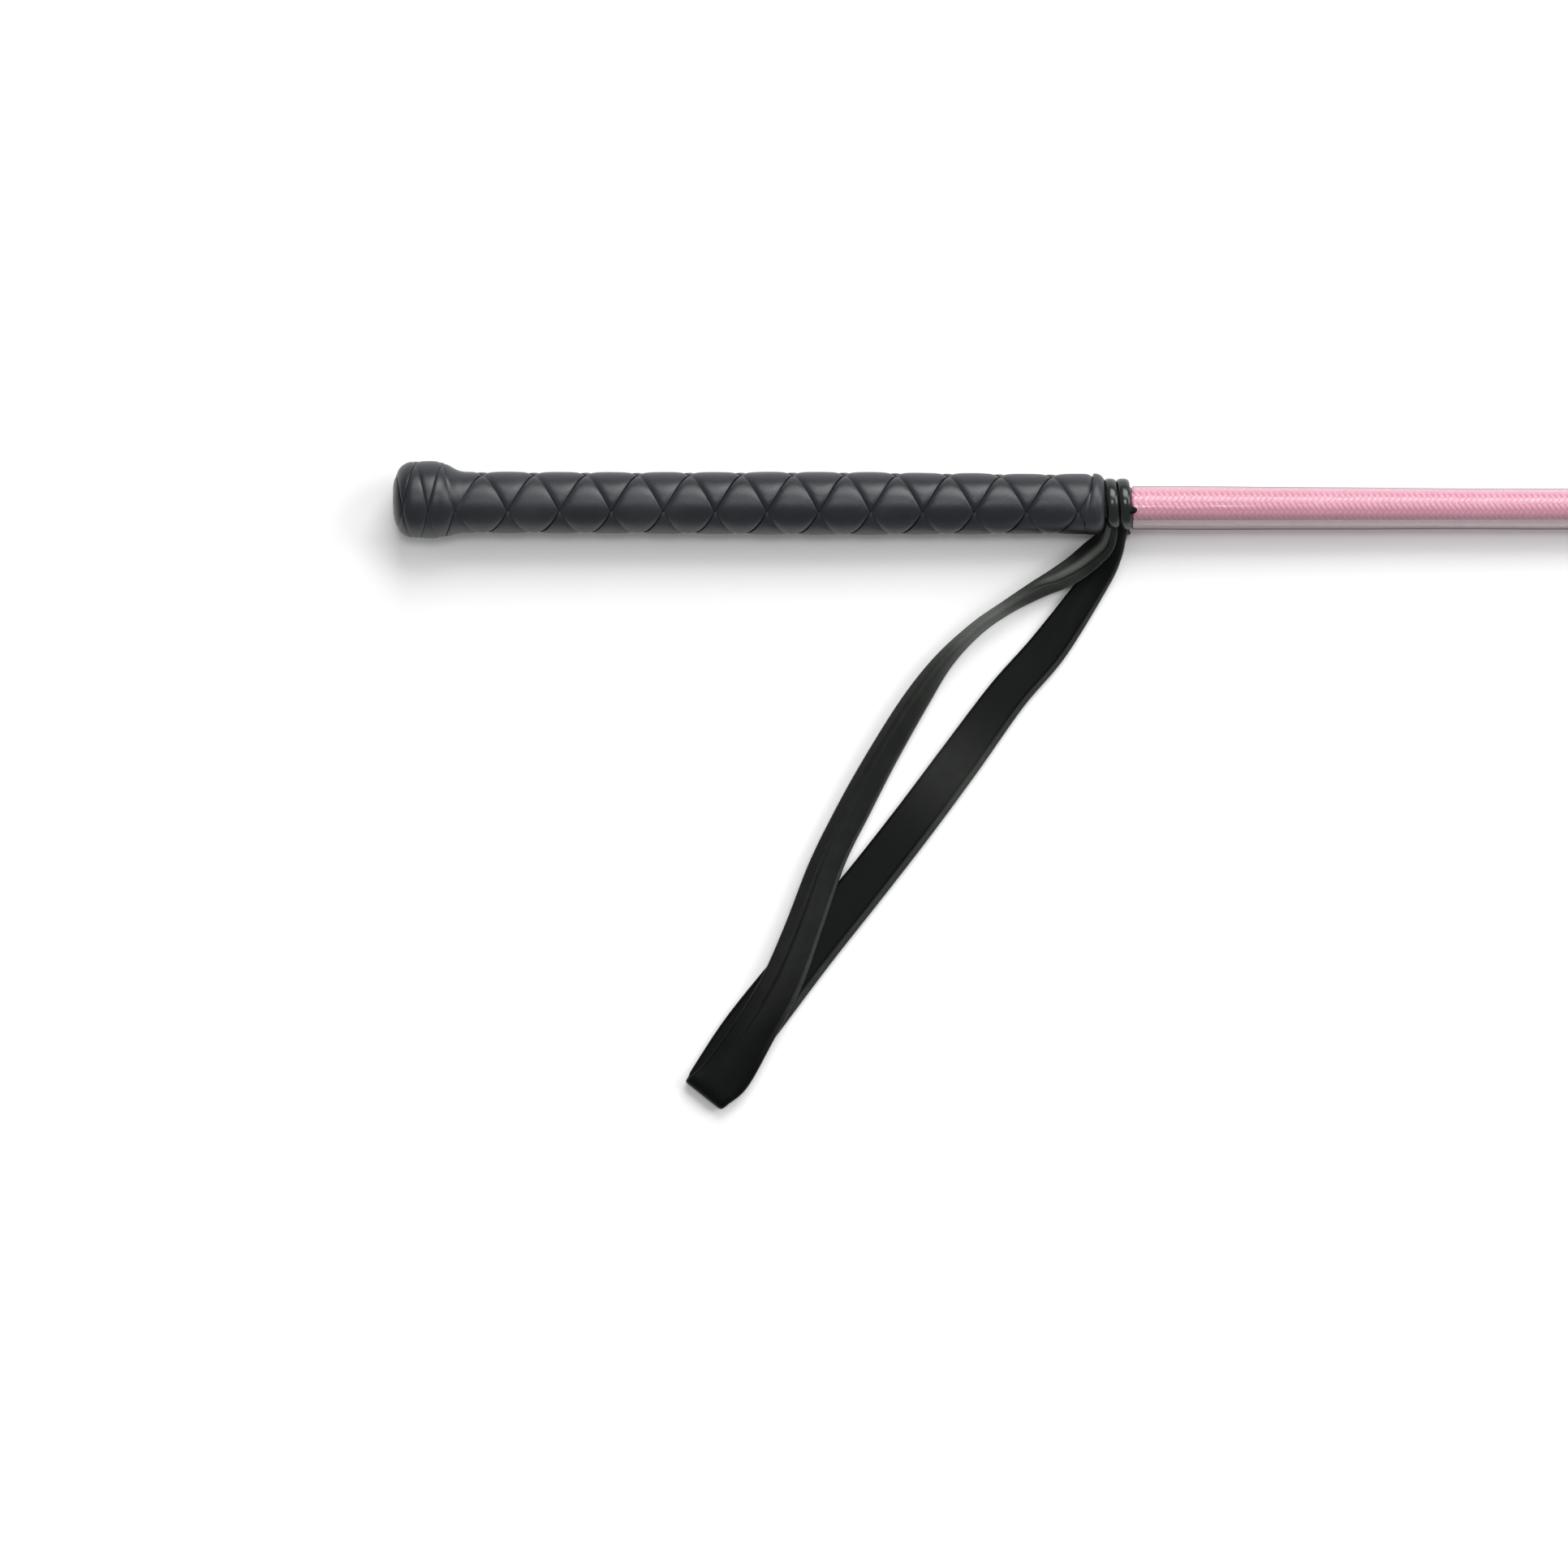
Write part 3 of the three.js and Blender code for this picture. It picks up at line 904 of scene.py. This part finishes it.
# Each station is the left edge, the seam and the right edge as x, y and height above the floor, and then
# how far the broad side of the strap bulges.
BED = 0.9
LOWER_LEG = [
    [(195.0, -5.6, 9.6), (196.6, -5.6, 10.2), (199.0, -5.6, 9.6), 0.3],
    [(194.0, -9.0, 7.0), (195.4, -9.2, 8.0), (198.2, -9.2, 7.0), 0.5],
    [(190.6, -13.6, 4.0), (193.4, -14.2, 5.0), (197.2, -14.4, 4.2), 0.6],
    [(185.6, -20.6, 1.8), (188.4, -21.6, 2.4), (194.2, -21.6, 1.9), 0.4],
    [(173.2, -36.2, BED), (176.2, -38.0, BED + 0.3), (182.6, -41.0, BED + 0.4), 0.2],
    [(162.2, -48.7, BED), (165.0, -50.4, BED + 0.3), (171.2, -54.8, BED + 0.4), 0.0],
    [(149.4, -65.6, BED), (152.3, -67.6, BED + 0.3), (159.0, -72.2, BED + 0.4), 0.0],
    [(136.3, -83.1, BED), (139.0, -85.1, BED + 0.3), (146.0, -90.0, BED + 0.4), 0.0],
    [(122.4, -100.8, BED), (125.0, -103.0, BED + 0.3), (132.3, -107.8, BED + 0.4), 0.0],
    [(108.3, -117.6, BED), (111.2, -120.2, BED + 0.3), (118.5, -125.4, BED + 0.4), 0.0],
    [(91.4, -138.4, BED), (95.0, -140.6, BED + 0.3), (103.6, -145.4, BED + 0.4), 0.0],
    [(81.8, -152.8, BED), (84.8, -155.0, BED + 0.3), (92.0, -160.6, BED + 0.4), 0.0],
]
FOLD = [
    [(80.2, -155.8, 1.2), (82.9, -157.9, 1.2), (90.3, -163.6, 1.2), 0.0],
    [(79.7, -156.6, 2.4), (82.4, -158.7, 2.4), (89.6, -164.4, 2.4), 0.0],
    [(80.8, -155.6, 3.6), (83.5, -157.7, 3.6), (90.9, -163.4, 3.5), 0.1],
]
UPPER_LEG = [
    [(84.6, -152.0, 3.4), (87.6, -153.8, 3.9), (96.4, -158.4, 3.1), 0.3],
    [(91.8, -142.0, 3.3), (95.2, -143.8, 3.9), (103.4, -145.6, 2.9), 0.4],
    [(99.8, -129.2, 3.4), (103.4, -130.4, 4.0), (110.9, -131.2, 2.9), 0.5],
    [(106.2, -114.8, 3.3), (110.0, -115.4, 4.2), (116.6, -114.8, 2.7), 0.6],
    [(112.9, -97.6, 2.8), (116.4, -97.8, 4.6), (122.6, -97.4, 2.0), 0.6],
    [(120.0, -83.2, 2.6), (123.2, -83.6, 5.2), (129.2, -84.0, 1.4), 0.6],
    [(127.6, -69.6, 2.8), (130.4, -69.8, 5.8), (136.4, -69.8, 1.4), 0.6],
    [(138.1, -52.8, 3.0), (140.4, -53.8, 6.2), (145.0, -54.2, 1.6), 0.5],
    [(147.2, -41.4, 3.6), (149.0, -42.6, 6.6), (151.5, -43.2, 1.8), 0.4],
    [(157.0, -32.6, 3.8), (157.9, -33.6, 6.6), (159.2, -34.8, 2.0), 0.3],
    [(165.4, -26.7, 4.2), (166.1, -27.7, 6.4), (167.2, -29.1, 2.6), 0.3],
    [(173.6, -20.9, 4.6), (174.7, -22.5, 6.4), (176.3, -24.6, 3.4), 0.3],
    [(178.6, -17.5, 4.8), (180.7, -20.4, 6.6), (182.2, -22.3, 4.8), 0.3],
    [(183.2, -14.2, 4.2), (186.0, -17.9, 7.0), (187.2, -19.4, 5.6), 0.3],
    [(187.6, -10.4, 3.4), (191.0, -14.4, 7.8), (191.9, -15.4, 7.0), 0.2],
    [(190.8, -7.8, 5.0), (193.8, -11.0, 8.8), (194.8, -11.6, 8.4), 0.2],
    [(192.8, -5.4, 8.6), (194.4, -5.4, 10.4), (196.0, -5.4, 10.2), 0.1],
]
STRAP_STATIONS = LOWER_LEG + FOLD + UPPER_LEG
STRAP_THICKNESS = 1.5
SEAM_ACROSS, SEAM_WIDTH, SEAM_DEPTH = 0.28, 0.022, 0.45
HEM_ACROSS, HEM_WIDTH, HEM_DEPTH = 0.86, 0.016, 0.22


# %% The strap's surface
def rail(number):
    stations = np.array([station[number] for station in STRAP_STATIONS])
    stations[:, 2] += floor_level(stations[:, 0])
    return stations


strap_rails = [rail(n) for n in range(3)]
strap_bulge = np.array([[station[3], 0, 0] for station in STRAP_STATIONS])


def off_fold(u):
    """0 at the far fold, where the strap is pressed flat and its seam closes up, and 1 along the legs."""
    return 1 - ramp(u, 0.34, 0.40) * ramp(u, 0.57, 0.49)


def line_at(value, middle, width):
    """A narrow bell: 1 on a line, and fading within its width."""
    return np.exp(-(((value - middle) / width) ** 2))


def strap_surface(u, v):
    left, seam, right = (smooth_curve(line, u) for line in strap_rails)
    bulge = smooth_curve(strap_bulge, u)[:, :1]
    v = v[:, None]
    near = np.clip(v / SEAM_ACROSS, 0, 1)
    far = np.clip((v - SEAM_ACROSS) / (1 - SEAM_ACROSS), 0, 1)
    flat = np.where(v < SEAM_ACROSS, left + (seam - left) * near, seam + (right - seam) * far)
    near_hitch = np.clip((u[:, None] - 0.82) / 0.05, 0, 1)
    ridge = near_hitch * np.sin(math.pi * np.clip((near - 0.4) / 0.6, 0, 1)) ** 2
    droop = np.clip((v - 0.84) / 0.16, 0, 1) ** 2
    up = np.array([0, 0, 1.0])
    return flat + up * (bulge * 4 * far * (1 - far) + 1.1 * ridge - 0.5 * droop)


def strap_place(u, v, face):
    v = crowd(v)
    step = 0.002
    along = strap_surface(u + step, v) - strap_surface(u - step, v)
    across = strap_surface(u, np.minimum(v + 0.02, 1)) - strap_surface(u, np.maximum(v - 0.02, 0))
    out = unit(np.cross(across, along))
    edge = np.abs(2 * v - 1)
    rounded = thinned(np.clip((edge - 0.86) / 0.14, 0, 1) ** 2)
    seam = line_at(v, SEAM_ACROSS, SEAM_WIDTH) * (face > 0) * off_fold(u)
    hem = line_at(v, HEM_ACROSS, HEM_WIDTH) * off_fold(u)
    lift = face * (STRAP_THICKNESS / 2 * rounded - SEAM_DEPTH * seam - HEM_DEPTH * hem)
    return strap_surface(u, v) + out * lift[:, None]


# How much paler the strap's dye is at each point: partly edge wear, partly painted light.
def strap_wear_and_painted_light(u, v):
    # Edge wear and a painted highlight: the strip beyond the hem is paler.
    hem = ramp(v, HEM_ACROSS, HEM_ACROSS + 0.03) * off_fold(u)
    # Painted light: the upper leg is paler near the hitch.
    neck = ramp(u, 0.68, 0.78) * ramp(u, 0.92, 0.89)
    # Painted highlight along the ridge near the hitch.
    painted_ridge_highlight = line_at(v, 0.2, 0.035) * ramp(u, 0.83, 0.87)
    # Painted light: a paler band across the upper leg.
    painted_light_band = line_at(u, 0.785, 0.03)
    # Painted sheen: a paler band across the lower leg.
    painted_sheen = line_at(u, 0.2, 0.02)
    # The whole upper leg is made a shade paler.
    face = ramp(u, 0.5, 0.58)
    return np.clip(0.3 * hem + 0.2 * neck + 0.65 * painted_ridge_highlight + 0.75 * painted_light_band + 0.16 * painted_sheen + 0.12 * face, 0, 1)


wrist_strap = slab("wrist_strap", 900, 48, strap_place, strap_wear_and_painted_light)
finish_piece(wrist_strap, strap_leather, sharp=60)
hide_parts("strap_leg_upper", "strap_leg_lower", "strap_fold")
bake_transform(wrist_strap)

# %% [markdown]
# ## The hitch
# The strap goes round the rod as a cow hitch: two bands side by side, joined by a bight across the back.
# Pulled tight, the leather bunches into two round, shiny ropes. Each band is a rolled tube once round the
# rod, the bight is a short slab that lies across them, and the strap's cut end peeps out as a small tail.


# %% Bands
def hitch_rope(name, node, shift):
    middle, half = middle_of(node)
    ring_radius = half[1] - 1.25

    def place(u, angle):
        degrees = -100 + 360 * u
        t = np.radians(degrees)
        lean = -0.5 * np.sin(t)
        wide = 1.78 + 0.06 * np.sin(5 * t + shift)
        high = 1.22 + 0.05 * np.sin(3 * t + 2 * shift)
        x = middle[0] + shift + lean + wide * squared(np.cos(angle), 0.8)
        return round_axis(x, ring_radius + high * np.sin(angle), degrees)

    return rolled_tube(name, 160, 32, place)


ROPES = (
    ("hitch_rope_left", "hitch_band_grip_side", -0.1),
    ("hitch_rope_right", "hitch_band_shaft_side", -0.25),
)
for name, node, shift in ROPES:
    finish_piece(hitch_rope(name, node, shift), hitch_leather, "hitch", [node])


# %% Tail and bight
def tail_place(u, v, face):
    wide = 1.15 * np.sqrt(1 - 0.99 * u**2)
    edge = np.abs(2 * v - 1)
    high = 0.5 * (1 - 0.7 * edge**4) * np.sqrt(1 - 0.9 * u**4)
    return np.column_stack([199.0 + 2.2 * u, -1.9 + wide * (2 * v - 1), 5.9 - 0.2 * u + high * face])


finish_piece(slab("hitch_tail", 16, 12, tail_place), strap_leather, "hitch")


def bight_place(u, v, face):
    middle, half = middle_of("hitch_bight")
    v = crowd(v)
    edge, end = np.abs(2 * v - 1), np.abs(2 * u - 1)
    x = middle[0] + half[0] * (2 * u - 1)
    radius = 8.05 + face * 0.75 * thinned(edge**6) * thinned(end**8)
    return round_axis(x, radius, -150 + 50 * v)


bight = slab("hitch_bight_strap", 24, 24, bight_place)
finish_piece(bight, hitch_leather, "hitch", ["hitch_bight"])

# %% [markdown]
# ## The keeper
# The keeper is a leather tongue of two plies, sewn together round its edge. Each ply starts as the packed
# outline, is bevelled along its cut edge, and a row of short stitches follows the outline a few
# millimetres in.


# %% Keeper plies
def keeper_ply(name, node):
    bpy.ops.object.select_all(action="DESELECT")
    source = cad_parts[node]
    ply = bpy.data.objects.new(name, source.data.copy())
    scene.collection.objects.link(ply)
    ply.select_set(True)
    bpy.context.view_layer.objects.active = ply
    for key in list(ply.keys()):
        del ply[key]

    def flatten():
        bpy.ops.mesh.remove_doubles(threshold=1e-6)
        bpy.ops.mesh.dissolve_limited(angle_limit=math.radians(2))

    in_edit_mode(ply, flatten)
    edge = ply.modifiers.new("cut edge", "BEVEL")
    edge.width = 0.35 * MM
    edge.segments = 3
    bpy.ops.object.modifier_apply(modifier=edge.name)
    return ply


for side in ("top", "bottom"):
    ply = keeper_ply(f"keeper_{side}", f"keeper_ply_{side}")
    finish_piece(ply, keeper_leather, "keeper", [f"keeper_ply_{side}"])

# %% [markdown]
# ## Keeper root and whipping
# The keeper's root is folded round the tip, and a waxed thread is wound tightly over it, turn against turn.
# The root is a ring spun round the rod. The thread is one rolled tube that follows a helix.

# %% Root
root_middle, root_half = middle_of("keeper_root")
root_start, root_end = root_middle[0] - root_half[0], root_middle[0] + root_half[0]
ROOT_RADIUS, ROOT_BORE = root_half[1], 2.95
lip = 0.4
root_outline = [
    (root_start, ROOT_BORE + lip),
    (root_start, ROOT_RADIUS - lip),
    (root_start + lip, ROOT_RADIUS),
    (root_end - lip, ROOT_RADIUS),
    (root_end, ROOT_RADIUS - lip),
    (root_end, ROOT_BORE + lip),
    (root_end - lip, ROOT_BORE),
    (root_start + lip, ROOT_BORE),
]
socket = spun_ring("keeper_socket", root_outline)
finish_piece(socket, keeper_leather, "crop", ["keeper_root"])

# %% Whipping thread
THREAD = 0.85
whip_start, whip_end = whipping_middle[0] - whipping_half[0], whipping_middle[0] + whipping_half[0]
WHIP_RADIUS = whipping_half[1] - THREAD / 2


def whipping_place(u, angle):
    travel = whip_end - whip_start - THREAD
    turns = travel / (0.98 * THREAD)
    x = whip_start + THREAD / 2 + travel * u
    closed = closing(u, 300)
    x = x + closed * THREAD / 2 * np.cos(angle)
    return round_axis(x, WHIP_RADIUS + closed * THREAD / 2 * np.sin(angle), 360 * turns * u)


thread = rolled_tube("whipping_thread", 620, 10, whipping_place)
finish_piece(thread, black_thread, "crop", ["tip_whipping"], sharp=80)

# %% [markdown]
# ## The keeper's neck
# The two plies run back into a soft folded neck that goes into the socket, and the keeper flaps on it. The
# neck is a tube that is round at the socket and flat at the plies. It is tied to no body; only the span
# from the socket to the plies where it would bend is worked out.

# %% Neck
ply_low, ply_high = (np.array(corner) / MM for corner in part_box("keeper_ply_top"))
NECK_START, NECK_FLAT, NECK_END = root_end - 3, ply_low[0] + 1.2, ply_low[0] + 2.6


def neck_place(u, angle):
    x = NECK_START + (NECK_END - NECK_START) * u
    flat = ramp(x, root_end - 0.5, NECK_FLAT)
    rim = np.sqrt(np.clip(1 - np.clip((x - NECK_END + 0.7) / 0.7, 0, 1) ** 2, 0, 1)) * (u > 0)
    wide = (3.3 + 1.15 * flat) * rim
    high = (3.3 - 1.45 * flat) * (0.75 + 0.25 * rim) * (rim > 0)
    squareness = 1 - 0.45 * flat
    across = wide * squared(np.cos(angle), squareness)
    up = high * squared(np.sin(angle), squareness)
    return np.column_stack([x, across, up])


neck_piece = rolled_tube("keeper_neck", 60, 40, neck_place)
finish_piece(neck_piece, keeper_leather, sharp=60)
bend_start, bend_end = (root_end - 0.4) * MM, (ply_low[0] + 0.6) * MM
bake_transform(neck_piece)

# %% [markdown]
# ## Stitches
# A row of short stitches holds the plies together, a little way in from the edge. It is one thread that
# comes up out of the leather and dips into it again, so one rolled tube whose height rises and falls along
# a U-shaped path gives the whole row.

# %% Stitches
STITCH, STITCH_THREAD, STITCH_INSET = 2.6, 0.6, 2.2
ROW_START = 613
round_radius = ply_high[1] - STITCH_INSET
round_centre = ply_high[0] - ply_high[1]
straight = round_centre - ROW_START
row_length = 2 * straight + math.pi * round_radius


def stitch_line(s):
    turn = np.clip((s - straight) / round_radius, 0, math.pi)
    back = np.clip(s - straight - math.pi * round_radius, 0, None)
    x = ROW_START + np.minimum(s, straight) + round_radius * np.sin(turn) - back
    return x, round_radius * np.cos(turn), turn


def stitches(name, side):
    def place(u, angle):
        s = u * row_length
        x, y, turn = stitch_line(s)
        rise = np.clip(np.sin(2 * math.pi * s / STITCH) + 0.55, -0.4, 1)
        z = side * (ply_high[2] - 0.28 + 0.42 * rise)
        closed = closing(u, 300) * STITCH_THREAD / 2
        across = closed * np.cos(angle)
        up = closed * np.sin(angle)
        return np.column_stack([x + across * np.sin(turn), y + across * np.cos(turn), z + up])

    return rolled_tube(name, 640, 8, place)


for side_name, side in (("top", 1), ("bottom", -1)):
    row = stitches(f"stitches_{side_name}", side)
    finish_piece(row, black_thread, "keeper", sharp=80)

# %% [markdown]
# ## Floor finish
# The floor is pale and matt, with the faintest unevenness.


# %% Floor finish
def pale_floor():
    finish = Finish("pale floor")
    cloudy = finish.noise(finish.place(), 3, 2.0)
    return finish.surface_is(
        Base_Color=finish.mix(cloudy, (0.86, 0.86, 0.86), (0.90, 0.90, 0.90)), Roughness=cloudy * 0.1 + 0.75
    )


floor.data.materials.append(pale_floor())
